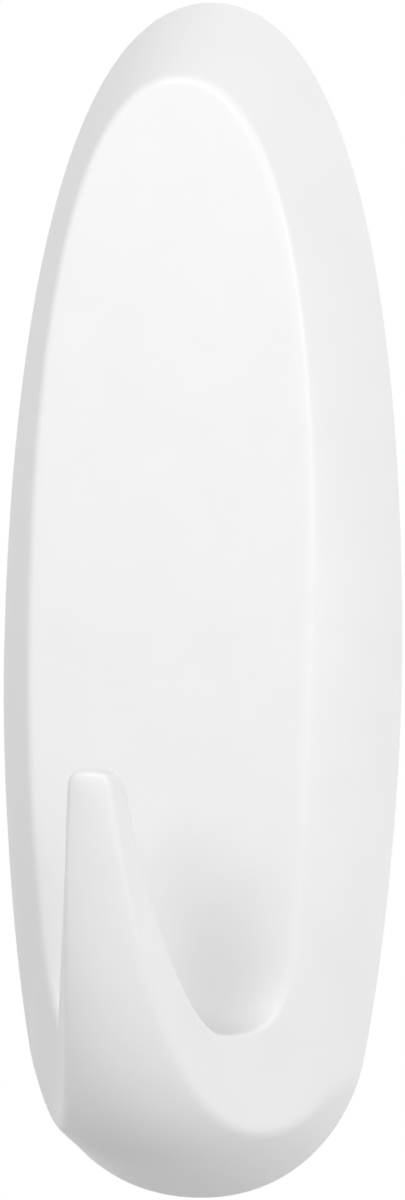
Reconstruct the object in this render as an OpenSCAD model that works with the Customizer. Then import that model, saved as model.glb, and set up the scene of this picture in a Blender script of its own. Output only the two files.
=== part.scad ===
// Adhesive wall hook: an oval moulded cover with a hook tongue, which slides down over a base plate that a
// stretch-release strip holds to the wall. The wall is the plane y = 0, the front faces -Y and Z is up.
// Points of the cover's edges are written [half width, depth from the wall, height].

/* [Cover] */
// Height of the oval cover
cover_h = 105; // [100:0.5:115]
// Width of the oval cover
cover_w = 38; // [36:0.1:42]
// How far the widest level lies below half height
widest_drop = 6.7; // [5:0.1:8]
// Width across the rim where the tongue's side edges leave it
leave_w = 31.75; // [31:0.05:33]
// Height of that place above the lower end
leave_h = 12.3; // [11.5:0.1:13]
// Gap between the cover's rim and the wall
rim_gap = 0.4; // [0.2:0.05:0.6]
// Wall thickness of the moulding
shell_t = 2; // [1.6:0.1:2.2]

/* [Front face] */
// Width of the front face
face_w = 26.6; // [25:0.1:28]
// Depth of the front face at its upper end
face_top_depth = 7.5; // [7.2:0.1:8]
// Depth of the front face at its widest level
face_mid_depth = 8; // [7.6:0.1:8.6]
// Height of the bevel above the face
top_bevel = 6.9; // [6:0.1:8]

/* [Pocket] */
// Height above the lower end where the face dips into the pocket
bend_h = 27.1; // [25:0.1:29]
// Width of the face there
bend_w = 24.8; // [24:0.1:26]
// Depth of the face there
bend_depth = 7.4; // [7.1:0.1:7.8]
// Height of the pocket's floor above the lower end
floor_h = 14.95; // [14:0.05:16]
// Depth of the pocket's lowest line
floor_depth = 12.35; // [11.6:0.05:13]
// Width of the pocket's floor
floor_w = 16; // [15:0.1:17.5]

/* [Tongue] */
// Height of the tongue's tip above the lower end
tip_h = 37.8; // [34:0.1:40]
// Reach of the tip from the wall
tip_reach = 25; // [23:0.1:28]
// Thickness of the tip
tip_t = 2; // [1.4:0.1:2.2]
// Width of the tip's front
tip_w = 4.1; // [3.6:0.1:5]
// Height of the tip's rounded end
tip_round = 2; // [1.5:0.1:2.5]
// Height of the heel's side edge above the lower end
heel_h = 6.25; // [5.5:0.05:7]
// Depth of the heel's side edge
heel_depth = 7.95; // [7.2:0.05:8.6]
// Width of the heel between its side edges
heel_w = 19.8; // [18.5:0.1:20.5]
// How far the heel bulges below its side edges
heel_sag = 3.5; // [3:0.1:4]

/* [Base] */
// Width of the base between its ears
base_w = 16.2; // [16:0.1:16.6]
// Height of the base
base_h = 56; // [52:0.5:57]
// Height of the base's upper end above the cover's middle
base_top = 30; // [28:0.5:30.5]
// Thickness of the base's back plate
base_plate_t = 1.56; // [1.4:0.02:1.7]
// Thickness of the ears and of the rim in front of the plate
ear_t = 1.4; // [1.2:0.1:1.5]
// How far each ear stands out
ear_reach = 2.1; // [1.6:0.1:2.2]
// Length of an ear and of the claw behind it
ear_l = 8; // [6:0.5:8]
// Height of the upper ears above the cover's middle
ear_upper = 20; // [19:0.5:20.5]
// Height of the lower ears above the cover's middle
ear_lower = -10; // [-13:0.5:-9]
// Width of the rim round the base's front recess
base_rim_w = 2.6; // [2:0.1:3.5]
// Corner radius of the base
base_corner = 3.5; // [2:0.5:4]

/* [Claws] */
// Clearance between the sliding faces
slide_gap = 0.35; // [0.2:0.05:0.4]
// Thickness of the claws that reach behind the ears
claw_t = 1.25; // [1:0.05:1.3]
// Length of the lead-in slope on a claw
claw_lead = 2; // [1:0.5:3]
// Thickness of the stop that rests on the base
stop_t = 1.8; // [1.4:0.1:2.4]
// Width of the stop
stop_w = 11; // [8:0.5:12]

/* [Strip] */
// Width of the strip
strip_w = 15.8; // [14:0.1:15.8]
// Length of the strip with its pull tab
strip_l = 70; // [68:0.5:70.5]
// Width of the pull tab
tab_w = 13; // [10:0.5:13]
// Corner radius of the strip
strip_corner = 1.5; // [0.5:0.5:3]
// Corner radius at the pull tab's end
tab_corner = 5; // [4:0.5:5]
// Thickness of the foam core
foam_t = 0.8; // [0.6:0.05:0.9]
// Thickness of each film
film_t = 0.05; // [0.04:0.01:0.06]
// Thickness of each adhesive layer and of the tab's papers
adhesive_t = 0.07; // [0.05:0.01:0.09]

/* [Hidden] */
$fn = 48;

// How full the curves are, as shares of the run to the corner that each one rounds
outline_top_shares = [0.802, 0.435];
outline_side_shares = [0.197, 0.361];
outline_low_shares = [0.358, 0.666];
face_shares = [0.677, 0.623];
// Lean of the rim towards the middle where the tongue's side edges leave it, per unit of height
leave_share = 0.2;
// Lengths of the curve handles along the pocket and the tongue, as shares of their runs
bend_shares = [0.5, 0.31];
floor_shares = [0.907, 0.957, 1.033];
tongue_back_share = 0.25;
heel_shares = [0.753, 0.625];
tongue_front_shares = [0.568, 0.533];
crest_shares = [0.3, 0.66, 0.617];
tip_shares = [0.8, 0.8];
// Lean of the tongue's edges towards the middle and to the front, per unit of height
lean_shares = [0.11, 0.18];
// Lean of the crest to the front below the tip, per unit of height
crest_lean_share = 0.215;
// Turn of the crease to the middle and to the front where it leaves the rim, per unit of height
crease_shares = [0.78, 1.98];
// Turn of the face's edge to the middle and to the wall where it dips into the pocket, per unit of height
dip_shares = [0.061, 0.081];
// Sideways turn of the floor's and the heel's edges, per unit of depth
turn_shares = [0.4, 0.59];
// Rise of the heel's underside to the front, per unit of depth
rise_share = 0.36;
// Bulge of the bevel as a share of its width, curve by curve from the upper end to the tip
bulge_shares = [[0, 0], [0.4, 0], [1, 0.035], [1.7, 0.035], [2.5, -0.015], [3.2, -0.015], [3.8, 0], [5, 0]];
// The arch across the tongue: its handles as shares of its half width and rise, and the run to reach it
arch_w_shares = [0, 0.36, 0.7, 1];
arch_rise_shares = [0, 0, 0.36, 1];
arch_run_share = 1.3;
// Widening of the tongue towards its back, as a share of the bevel's slope
flare_share = 0.5;
// Draft of the claws' ribs, as a share of the wall, and thickness of a lip's leading end
draft_share = 0.2;
lead_share = 0.5;
// Thickness of the thin slices that span the hollow, as a share of the wall
slice_share = 0.005;
// Reach of the core inside the heel, as shares of the heel's depth, width and height
core_depth_share = 1.43;
core_w_shares = [0.79, 0.46];
core_top_share = 0.78;
core_low_shares = [1.32, 1.37];
// Steps along each curve, across the bevel and across half of the heel
steps = 12;
bevel_steps = 3;
heel_steps = 7;

half_w = cover_w / 2;
top_z = cover_h / 2;
low_z = -cover_h / 2;
widest_z = -widest_drop;
face_top = top_z - top_bevel;
leave_z = low_z + leave_h;
bend_z = low_z + bend_h;
floor_z = low_z + floor_h;
heel_z = low_z + heel_h;
tip_z = low_z + tip_h;
shoulder_z = tip_z - tip_round;
// The tongue's back is wider than its front because its sides go on along the bevel
bevel_slope = (cover_w - face_w) / 2 / (face_mid_depth - rim_gap);
tip_back_w = tip_w + 2 * tip_t * bevel_slope * flare_share;

function bezier(p, t) =
  p[0] * (1 - t) ^ 3 + p[1] * 3 * t * (1 - t) ^ 2 + p[2] * 3 * t ^ 2 * (1 - t) + p[3] * t ^ 3;
function unit(v) = v / norm(v);
// Samples of a chain of curves, without the end of each but the last
function trace(chain) = [
  for (curve = chain) for (i = [0:steps - 1]) bezier(curve, i / steps),
  bezier(chain[len(chain) - 1], 1),
];

// Rounded quarter from an end on the middle plane to the widest level
function quarter(half, depth, end, middle, shares) = [
  [0, depth, end],
  [shares[0] * half, depth, end],
  [half, depth, middle + shares[1] * (end - middle)],
  [half, depth, middle],
];

// Depth of the front face, which leans forward a little towards its widest level
function face_depth(z) = face_top_depth + (face_mid_depth - face_top_depth) * (1 - z / face_top);
function on_face(p) = [p[0], face_depth(p[2]), p[2]];

// Outline of the rim: its upper part, its side and its lower end
outline_top = quarter(half_w, rim_gap, top_z, widest_z, outline_top_shares);
leave_point = [leave_w / 2, rim_gap, leave_z];
leave_dir = unit([-leave_share, 0, -1]);
outline_side = [
  [half_w, rim_gap, widest_z],
  [half_w, rim_gap, widest_z - outline_side_shares[0] * (widest_z - leave_z)],
  leave_point - leave_dir * outline_side_shares[1] * (widest_z - leave_z),
  leave_point,
];
outline_low = [
  leave_point,
  leave_point + leave_dir * outline_low_shares[0] * leave_h,
  [outline_low_shares[1] * leave_w / 2, rim_gap, low_z],
  [0, rim_gap, low_z],
];

// Outer edge: the rim, then the heel's side edge and the tongue's front edge up to the tip
up_dir = unit([-lean_shares[0], lean_shares[1], 1]);
crease_dir = unit([-crease_shares[0], crease_shares[1], -1]);
heel_point = [heel_w / 2, heel_depth, heel_z];
heel_dir = unit([-turn_shares[1], 1, 0]);
shoulder = [tip_w / 2, tip_reach - tip_round * lean_shares[1], shoulder_z];
tip_point = [0, tip_reach, tip_z];
heel_run = leave_point[2] - heel_z;
tongue_run = shoulder_z - heel_z;
heel_edge = [
  leave_point,
  leave_point + crease_dir * heel_run * heel_shares[0],
  heel_point - heel_dir * heel_depth * heel_shares[1],
  heel_point,
];
front_edge = [
  heel_point,
  heel_point + heel_dir * (tip_reach - heel_depth) * tongue_front_shares[0],
  shoulder - up_dir * tongue_run * tongue_front_shares[1],
  shoulder,
];
function tip_curve(start, end) = [
  start,
  start + up_dir * tip_round * tip_shares[0],
  end + [start[0] * tip_shares[1], 0, 0],
  end,
];
outer_edge = trace([
  outline_top,
  outline_side,
  heel_edge,
  front_edge,
  tip_curve(shoulder, tip_point),
]);

// Inner edge: round the face, along the pocket's floor and up the back of the tongue
face_widest = on_face([face_w / 2, 0, 0]);
face_side = [bend_w / 2, bend_depth, bend_z];
side_dir = unit([-dip_shares[0], -dip_shares[1], -1]);
side_handle = face_side + side_dir * bend_z * bend_shares[1];
floor_point = [floor_w / 2, floor_depth, floor_z];
floor_dir = [-turn_shares[0], 1, 0];
floor_run = floor_depth - bend_depth;
back_shoulder = [tip_back_w / 2, tip_reach - tip_t - tip_round * lean_shares[1], shoulder_z];
back_tip = [0, tip_reach - tip_t, tip_z];
inner_edge = trace([
  [for (p = quarter(face_w / 2, 0, face_top, 0, face_shares)) on_face(p)],
  [face_widest, on_face([face_w / 2, 0, bend_z * bend_shares[0]]), side_handle, face_side],
  [
    face_side,
    face_side + side_dir * (bend_z - floor_z) * floor_shares[0],
    floor_point - floor_dir * floor_run * floor_shares[1],
    floor_point,
  ],
  [
    floor_point,
    floor_point + floor_dir * floor_run * floor_shares[2],
    back_shoulder - up_dir * (shoulder_z - floor_z) * tongue_back_share,
    back_shoulder,
  ],
  tip_curve(back_shoulder, back_tip),
]);

// Crest: the middle line of the heel and of the tongue's front
crest_start = [0, rim_gap, low_z];
crest_heel = [0, heel_depth, heel_z - heel_sag];
crest_dir = unit([0, 1, rise_share]);
crest_shoulder = [0, tip_reach - tip_round * lean_shares[1] + tip_w * lean_shares[0], shoulder_z];
crest_line = trace([
  [
    crest_start,
    crest_start + crest_dir * heel_depth * crest_shares[0],
    crest_heel - crest_dir * heel_depth * crest_shares[0],
    crest_heel,
  ],
  [
    crest_heel,
    crest_heel + crest_dir * (tip_reach - heel_depth) * crest_shares[1],
    crest_shoulder - [0, crest_lean_share, 1] * tongue_run * crest_shares[2],
    crest_shoulder,
  ],
  tip_curve(crest_shoulder, tip_point),
]);

// Where each station's three lines run: side is 1 for the right half and -1 for the left
function place(p, side = 1) = [p[0] == 0 ? 0 : side * p[0], -p[1], p[2]];
leave_step = 2 * steps;
last_step = 5 * steps;

// The bevel at one station, from the outer edge to the inner edge
function bevel_row(k) =
  let (
    a = outer_edge[k],
    b = inner_edge[k],
    run = k == 0 ? [1, 0, 0] : k == last_step ? [-1, 0, 0] : outer_edge[k + 1] - outer_edge[k - 1],
    out = unit(cross(run, b - a)) * norm(b - a) * lookup(k / steps, bulge_shares)
  )
  [
    a,
    for (s = [1:bevel_steps - 1]) let (t = s / bevel_steps) a + (b - a) * t + out * 4 * t * (1 - t),
    b,
  ];

// The heel across one station: the lower outline's own curve, which turns into a plain arch up the tongue
arc = [for (j = [0:heel_steps]) bezier(outline_low, 1 - j / heel_steps)];
function heel_point_at(k, j) =
  let (
    edge = outer_edge[k],
    crest = crest_line[k - leave_step],
    arched = min(1, (k - leave_step) / steps / arch_run_share),
    low_across = arc[j][0] / leave_point[0],
    low_up = (arc[j][2] - low_z) / (leave_point[2] - low_z),
    across = low_across + (bezier(arch_w_shares, j / heel_steps) - low_across) * arched,
    up = low_up + (bezier(arch_rise_shares, j / heel_steps) - low_up) * arched
  )
  k == leave_step ? arc[j]
    : j == heel_steps ? edge
    : [edge[0] * across, crest[1] + (edge[1] - crest[1]) * up, crest[2] + (edge[2] - crest[2]) * up];
function heel_row(k) = [for (j = [-heel_steps:heel_steps]) place(heel_point_at(k, abs(j)), sign(j))];

function patch(rows) = [
  for (i = [0:len(rows) - 2]) for (j = [0:len(rows[0]) - 2])
    each [
      [rows[i][j], rows[i][j + 1], rows[i + 1][j + 1]],
      [rows[i][j], rows[i + 1][j + 1], rows[i + 1][j]],
    ],
];
function backwards(row) = [for (i = [len(row) - 1:-1:0]) row[i]];

// The cover's outside as a closed skin: two bevels, the face with the pocket, the heel and a flat back
right_bevel = [for (k = [0:last_step]) [for (p = bevel_row(k)) place(p)]];
left_bevel = [for (k = [0:last_step]) backwards([for (p = bevel_row(k)) place(p, -1)])];
face_rows = [for (k = [0:last_step]) [place(inner_edge[k]), place(inner_edge[k], -1)]];
heel_rows = [for (k = [leave_step:last_step]) heel_row(k)];
back_rows = concat(
  [for (k = [0:leave_step]) [place(outer_edge[k], -1), place(outer_edge[k])]],
  [for (j = [heel_steps - 1:-1:0]) [place(arc[j], -1), place(arc[j])]]
);
skin = [
  for (rows = [right_bevel, left_bevel, face_rows, heel_rows, back_rows], t = patch(rows))
    if (t[0] != t[1] && t[1] != t[2] && t[2] != t[0]) t,
];
skin_points = [for (t = skin) each t];
skin_faces = [for (i = [0:len(skin) - 1]) [3 * i, 3 * i + 2, 3 * i + 1]];

// Depths from the wall, layer by layer
base_back = foam_t + 2 * film_t + 2 * adhesive_t;
ear_back = base_back + base_plate_t;
base_front = ear_back + ear_t;
claw_front = ear_back - slide_gap;
claw_back = claw_front - claw_t;
ceiling = bend_depth - shell_t;
base_low = base_top - base_h;
strip_low = base_top - strip_l;
ear_half = base_w / 2 + ear_reach;
claw_in = base_w / 2 + slide_gap;
rib_in = ear_half + slide_gap;
slice_t = shell_t * slice_share;
// Wall thickness as measured along the width and along the height
side_inset = shell_t * norm([bevel_slope, 1]);
top_inset = shell_t * norm([top_bevel / (face_top_depth - rim_gap), 1]);

// A flat layer parallel to the wall, from one depth to another
module layer(from, to) {
  translate([0, -from, 0]) rotate([90, 0, 0]) linear_extrude(to - from) children();
}

// An oval of the rim's form in the plane of the wall, by its half width and its ends
module oval(half, end, low) {
  right = [
    for (p = trace([outline_top, outline_side, outline_low]))
      let (
        up = (end - widest_z) / (top_z - widest_z),
        down = (low - widest_z) / (low_z - widest_z)
      )
      [p[0] * half / half_w, widest_z + (p[2] - widest_z) * (p[2] > widest_z ? up : down)],
  ];
  polygon(concat(right, [for (i = [3 * steps - 1:-1:1]) [-right[i][0], right[i][1]]]));
}

// A rectangle with rounded corners, by its half width and its lower and upper ends
module rounded(half, low, high, r) {
  translate([-half + r, low]) square([2 * (half - r), high - low]);
  translate([-half, low + r]) square([2 * half, high - low - 2 * r]);
  for (x = [-half + r, half - r], z = [low + r, high - r]) translate([x, z]) circle(r);
}

// Hollow behind the face, and the core that lightens the heel
module hollow() {
  share = (ceiling - rim_gap) / (face_top_depth - rim_gap);
  hull() {
    layer(0, slice_t) oval(half_w - side_inset, top_z - top_inset, low_z + side_inset);
    layer(ceiling - slice_t, ceiling) oval(
      half_w - side_inset - bevel_slope * (ceiling - rim_gap),
      top_z - top_inset - top_bevel * share,
      low_z + side_inset + rise_share * ceiling
    );
  }
  hull() {
    layer(ceiling - slice_t, ceiling)
      core_window(heel_w / 2 * core_w_shares[0], low_z + heel_h * core_low_shares[0]);
    layer(heel_depth * core_depth_share - slice_t, heel_depth * core_depth_share)
      core_window(heel_w / 2 * core_w_shares[1], low_z + heel_h * core_low_shares[1]);
  }
}

module core_window(half, low) {
  rounded(half, low, low_z + floor_h * core_top_share, shell_t / 2);
}

// A claw on each side at one height: a rib down from the ceiling and a lip that reaches behind the ear
module claws(middle) {
  low = middle - ear_l / 2;
  draft = shell_t * draft_share;
  for (side = [0, 1]) mirror([side, 0, 0]) {
    hull() {
      layer(claw_back, claw_front) translate([rib_in, low]) square([half_w - rib_in, ear_l]);
      layer(ceiling, ceiling + shell_t)
        translate([rib_in, low - draft]) square([half_w - rib_in, ear_l + 2 * draft]);
    }
    hull() {
      layer(claw_back, claw_front)
        translate([claw_in, low + claw_lead]) square([half_w - claw_in, ear_l - claw_lead]);
      layer(claw_back, claw_back + claw_t * lead_share)
        translate([claw_in, low]) square([half_w - claw_in, ear_l]);
    }
  }
}

// The stop that rests on the base's upper end and carries the load
module stop_web() {
  layer(base_back + slide_gap, ceiling + shell_t) translate([-stop_w / 2, base_top]) square([stop_w, stop_t]);
}

module hook_cover() {
  color("whitesmoke") difference() {
    polyhedron(points = skin_points, faces = skin_faces);
    difference() {
      hollow();
      claws(ear_upper);
      claws(ear_lower);
      stop_web();
    }
  }
}

module mounting_base() {
  color("gainsboro") {
    layer(base_back, ear_back) rounded(base_w / 2, base_low, base_top, base_corner);
    layer(ear_back, base_front) difference() {
      union() {
        rounded(base_w / 2, base_low, base_top, base_corner);
        for (z = [ear_upper, ear_lower]) translate([-ear_half, z - ear_l / 2]) square([2 * ear_half, ear_l]);
      }
      rounded(base_w / 2 - base_rim_w, base_low + base_rim_w, base_top - base_rim_w, base_corner / 2);
    }
  }
}

// Outline of the strip: the bonded length behind the base, and the tab below it
module bonded_shape() {
  rounded(strip_w / 2, base_low, base_top, strip_corner);
}
module tab_shape() {
  difference() {
    rounded(tab_w / 2, strip_low, base_low + 2 * tab_corner, tab_corner);
    translate([-tab_w, base_low]) square([2 * tab_w, 4 * tab_corner]);
  }
}
module strip_shape() {
  bonded_shape();
  tab_shape();
}

film_back = adhesive_t;
foam_back = film_back + film_t;
foam_front = foam_back + foam_t;
film_front = foam_front + film_t;

module strip_foam_core() {
  color("white") layer(foam_back, foam_front) strip_shape();
}
module strip_wall_film() {
  color("ghostwhite") layer(film_back, foam_back) strip_shape();
}
module strip_base_film() {
  color("ghostwhite") layer(foam_front, film_front) strip_shape();
}
module strip_wall_adhesive() {
  color("ivory") layer(0, film_back) bonded_shape();
}
module strip_base_adhesive() {
  color("ivory") layer(film_front, base_back) bonded_shape();
}
module tab_wall_cover() {
  color("snow") layer(0, film_back) tab_shape();
}
module tab_base_cover() {
  color("snow") layer(film_front, base_back) tab_shape();
}

hook_cover();
mounting_base();
strip_foam_core();
strip_wall_film();
strip_base_film();
strip_wall_adhesive();
strip_base_adhesive();
tab_wall_cover();
tab_base_cover();
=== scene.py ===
# %% [markdown]
# # A stick-on wall hook, step by step
# The object is a white moulded hook for a wall. An oval cover carries the hook's tongue and slides down
# over a flat base plate, which a stretch-release foam strip holds to the wall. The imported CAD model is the
# frame: it says where every piece is. This script gives each piece its finished shape and surface, and sets
# up a small photo studio. Everything is in metres, the wall is the plane y = 0, the front faces -Y and Z
# points up.

# %% Load the frame
import math

import bmesh
import bpy
import numpy as np
from mathutils import Matrix, Vector, noise


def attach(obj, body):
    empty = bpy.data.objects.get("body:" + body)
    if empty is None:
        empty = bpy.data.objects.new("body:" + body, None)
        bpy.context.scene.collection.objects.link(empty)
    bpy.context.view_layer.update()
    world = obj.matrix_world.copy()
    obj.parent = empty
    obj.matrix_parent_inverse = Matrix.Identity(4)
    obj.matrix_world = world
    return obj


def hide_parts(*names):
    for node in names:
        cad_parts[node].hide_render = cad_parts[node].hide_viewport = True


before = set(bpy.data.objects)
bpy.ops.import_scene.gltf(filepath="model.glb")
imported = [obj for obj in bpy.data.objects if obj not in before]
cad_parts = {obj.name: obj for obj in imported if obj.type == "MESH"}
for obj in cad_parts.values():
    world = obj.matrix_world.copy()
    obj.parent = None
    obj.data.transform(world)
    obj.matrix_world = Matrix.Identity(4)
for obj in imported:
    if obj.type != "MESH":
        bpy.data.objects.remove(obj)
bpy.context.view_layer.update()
scene = bpy.context.scene
MM = 0.001
print("CAD nodes:", sorted(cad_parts))


# %% [markdown]
# ## Two small helpers
# Colours are easiest to write as the hex values that a paint program shows, but shaders work in linear
# light, so one function converts them. A second function adds any node to any tree, sets its options and
# plugs in its inputs: a socket is linked, and anything else becomes the input's own value.

# %% Helpers for colours and nodes
def linear(hex_colour):
    channels = [int(hex_colour[i:i + 2], 16) / 255 for i in (1, 3, 5)]
    return [c / 12.92 if c <= 0.04045 else ((c + 0.055) / 1.055) ** 2.4 for c in channels] + [1.0]


def add(tree, kind, inputs=None, **options):
    made = tree.nodes.new(kind)
    for name, value in options.items():
        setattr(made, name, value)
    for name, value in (inputs or {}).items():
        if isinstance(value, bpy.types.NodeSocket):
            tree.links.new(value, made.inputs[name])
        else:
            made.inputs[name].default_value = value
    return made


print("white plastic in linear light:", [round(c, 3) for c in linear("#F4F4F3")])

# %% [markdown]
# ## The camera
# The photograph was taken with a long lens from about a metre away, level with the hook's middle and 23
# degrees round to its right. A long lens keeps the oval's outline calm: near and far parts have almost the
# same scale. The hook leans a little in the picture, so the camera is rolled by the same small angle.

# %% Camera
CAMERA_YAW = math.radians(23)
CAMERA_ROLL = math.radians(0.823)
CAMERA_DISTANCE = 0.9
PICTURE_W, PICTURE_H = 405, 1200
FOCAL_PIXELS, SENSOR_W = 10240, 36
# Where the frame's origin falls in the picture, in pixels from its upper left corner
ORIGIN_AT = (204.0, 600.2)

camera_data = bpy.data.cameras.new("camera")
camera = bpy.data.objects.new("camera", camera_data)
scene.collection.objects.link(camera)
scene.camera = camera
camera_data.sensor_width = SENSOR_W
camera_data.lens = FOCAL_PIXELS * SENSOR_W / PICTURE_H
camera_data.shift_x = (PICTURE_W / 2 - ORIGIN_AT[0]) / PICTURE_H
camera_data.shift_y = (ORIGIN_AT[1] - PICTURE_H / 2) / PICTURE_H
back = Vector((math.sin(CAMERA_YAW), -math.cos(CAMERA_YAW), 0))
camera.location = back * CAMERA_DISTANCE
level = (-back).to_track_quat("-Z", "Y").to_matrix().to_4x4()
camera.rotation_euler = (level @ Matrix.Rotation(CAMERA_ROLL, 4, "Z")).to_euler()
camera_data.clip_start, camera_data.clip_end = 0.05, 20
print("lens", round(camera_data.lens, 1), "mm")

# %% [markdown]
# ## Studio: floor, backdrop and light
# The hook hangs in the air on white. The world looks white to the camera and to mirror-like reflections,
# but gives the object only a dim, even light: Light Path tells the two apart. A pale round floor well below
# the hook returns some light to its underside and catches its shadow, and fades to white at its border.
# Soft round panels do the rest. The two on the right draw a bright line along the rounded edge of the face
# and leave the left bevel grey; the two in front, on the left, shade the pocket with the tongue's soft
# shadow; and one low on the right, a little behind, lets the heel's underside grow lighter from left to
# right. A last one lights the base and the strip.

# %% World
AMBIENT = 0.345
scene.view_settings.view_transform = "Standard"
world = bpy.data.worlds.new("studio")
scene.world = world
world.use_nodes = True
tree = world.node_tree
tree.nodes.clear()


def seen_directly(node_tree):
    """1 for rays that look at the background from the camera, in a reflection or through something clear."""
    path = add(node_tree, "ShaderNodeLightPath").outputs
    seen = path["Is Camera Ray"]
    for other in ("Is Glossy Ray", "Is Transmission Ray"):
        seen = add(node_tree, "ShaderNodeMath", {0: seen, 1: path[other]}, operation="MAXIMUM").outputs[0]
    return seen


dim = add(tree, "ShaderNodeBackground", {"Color": linear("#FFFFFF"), "Strength": AMBIENT})
white = add(tree, "ShaderNodeBackground", {"Color": linear("#FFFFFF"), "Strength": 1.0})
mixed = add(tree, "ShaderNodeMixShader", {0: seen_directly(tree), 1: dim.outputs[0], 2: white.outputs[0]})
add(tree, "ShaderNodeOutputWorld", {"Surface": mixed.outputs[0]})
print("ambient light", AMBIENT)

# %% Floor
FLOOR_RADIUS, FLOOR_DROP = 0.6, 0.25
# Shares of the radius between which the floor fades to white
FADE_FROM, FADE_TO = 0.3, 0.95
# Share of plain white in the floor's middle, as the camera sees it; the rest is paint that takes the shadow
FLOOR_GLOW = 0.5
floor_material = bpy.data.materials.new("pale_studio_floor")
floor_material.use_nodes = True
tree = floor_material.node_tree
tree.nodes.clear()
place = add(tree, "ShaderNodeTexCoord")
distance = add(tree, "ShaderNodeVectorMath", {0: place.outputs["Object"]}, operation="LENGTH")
fade = add(tree, "ShaderNodeMapRange", {
    "Value": distance.outputs["Value"], "From Min": FLOOR_RADIUS * FADE_FROM,
    "From Max": FLOOR_RADIUS * FADE_TO, "To Min": FLOOR_GLOW,
}, interpolation_type="SMOOTHSTEP")
fade = add(tree, "ShaderNodeMath", {0: fade.outputs[0], 1: seen_directly(tree)}, operation="MULTIPLY")
paint = add(tree, "ShaderNodeBsdfDiffuse", {"Color": linear("#E6E6E6")})
glow = add(tree, "ShaderNodeEmission", {"Color": linear("#FFFFFF"), "Strength": 1.0})
mixed = add(tree, "ShaderNodeMixShader", {0: fade.outputs[0], 1: paint.outputs[0], 2: glow.outputs[0]})
add(tree, "ShaderNodeOutputMaterial", {"Surface": mixed.outputs[0]})
mesh = bpy.data.meshes.new("studio_floor")
bm = bmesh.new()
bmesh.ops.create_circle(bm, cap_ends=True, segments=96, radius=FLOOR_RADIUS)
bm.to_mesh(mesh)
bm.free()
floor = bpy.data.objects.new("studio_floor", mesh)
floor.location.z = -FLOOR_DROP
floor.data.materials.append(floor_material)
scene.collection.objects.link(floor)
print("floor", FLOOR_RADIUS * 2, "m across")

# %% Soft panels
PANELS = [
    # name, degrees to the right, degrees up, distance, size, watts, spread of the beam in degrees
    ("front_panel", -10, 25, 0.5, 0.3, 0.59, 180),
    ("left_panel", -25, 28, 0.3, 0.1, 0.145, 180),
    ("right_panel", 50, 23, 0.5, 0.3, 0.59, 180),
    ("side_panel", 50, 8, 0.5, 0.3, 0.41, 180),
    ("low_panel", 118, -25, 0.5, 0.45, 0.7, 180),
    ("back_panel", 190, 5, 0.5, 0.2, 0.08, 50),
]
for name, right, up, away, size, watts, spread in PANELS:
    panel = bpy.data.lights.new(name, "AREA")
    panel.shape = "DISK"
    panel.size = size
    panel.energy = watts
    panel.spread = math.radians(spread)
    lamp = bpy.data.objects.new(name, panel)
    turn, rise = math.radians(right), math.radians(up)
    spot = Vector((math.sin(turn) * math.cos(rise), -math.cos(turn) * math.cos(rise), math.sin(rise)))
    lamp.location = spot * away
    lamp.rotation_euler = (-spot).to_track_quat("-Z", "Y").to_euler()
    lamp.visible_camera = False
    scene.collection.objects.link(lamp)
    print(name, watts, "W")

# %% [markdown]
# ## The hook's guide lines
# The moulding has three lines that the eye follows: the outer edge, which is the oval rim and then the
# sides of the tongue up to its tip; the inner edge, which goes round the face, down into the pocket and up
# the back of the tongue; and the crest, the middle line of the heel and of the tongue's front. Each is a
# chain of Bezier curves. Points are written [half width, depth from the wall, height] in millimetres for
# the right half, and the left half is the mirror image.

# %% Sizes of the moulding, in millimetres
# A line each for the whole cover, the point where the tongue's edge leaves the rim, the face, its bend into
# the pocket, the pocket's floor, the tongue's tip and the heel
cover_h, cover_w, widest_z, rim_gap = 105, 38, -6.7, 0.4
leave_w, leave_h = 31.75, 12.3
face_w, face_top_depth, face_mid_depth, top_bevel = 26.6, 7.5, 8, 6.9
bend_h, bend_w, bend_depth = 27.1, 24.8, 7.4
floor_h, floor_depth, floor_w = 14.95, 12.35, 16
tip_h, tip_reach, tip_t, tip_w, tip_round = 37.8, 25, 2, 4.1, 2
heel_h, heel_depth, heel_w, heel_sag = 6.25, 7.95, 19.8, 3.5
# Handles of the rim and of the face's edge, as shares of each curve's height or half width
rim_top_full, rim_side_full, rim_low_full = (0.802, 0.435), (0.197, 0.361), (0.358, 0.666)
face_full = (0.677, 0.623)
# Handles along the pocket, the heel, the tongue, the crest and the tip, as shares of the runs there
bend_reach, floor_reach, back_reach = (0.5, 0.31), (0.907, 0.957, 1.033), 0.25
heel_reach, front_reach, crest_reach, tip_full = (0.753, 0.625), (0.568, 0.533), (0.3, 0.66, 0.617), 0.8
# Turns of the edges to the middle and in depth, per unit of height
rim_turn, tongue_turn, crease_turn, dip_turn = 0.2, (0.11, 0.18), (0.78, 1.98), (0.061, 0.081)
# Turns of the floor's and the heel's edges to the middle, and the rise of the heel, per unit of depth
floor_turn, heel_turn, heel_rise = 0.4, 0.59, 0.36
# Lean of the crest to the front below the tip, and its swell there as a share of the tip's width
crest_turn, crest_swell = 0.215, 0.1
# Stations along each curve
STEPS = 40

half_w, top_z, low_z = cover_w / 2, cover_h / 2, -cover_h / 2
face_top, bend_z, floor_z = top_z - top_bevel, low_z + bend_h, low_z + floor_h
leave_z, heel_z, tip_z = low_z + leave_h, low_z + heel_h, low_z + tip_h
shoulder_z = tip_z - tip_round
bevel_slope = (cover_w - face_w) / 2 / (face_mid_depth - rim_gap)
tip_back_w = tip_w + tip_t * bevel_slope


def unit(v):
    v = np.asarray(v, float)
    return v / np.linalg.norm(v, axis=-1, keepdims=True)


def bezier(points, t):
    p = np.asarray(points, float)
    t = np.asarray(t, float)[:, None]
    return p[0] * (1 - t) ** 3 + p[1] * 3 * t * (1 - t) ** 2 + p[2] * 3 * t ** 2 * (1 - t) + p[3] * t ** 3


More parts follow.
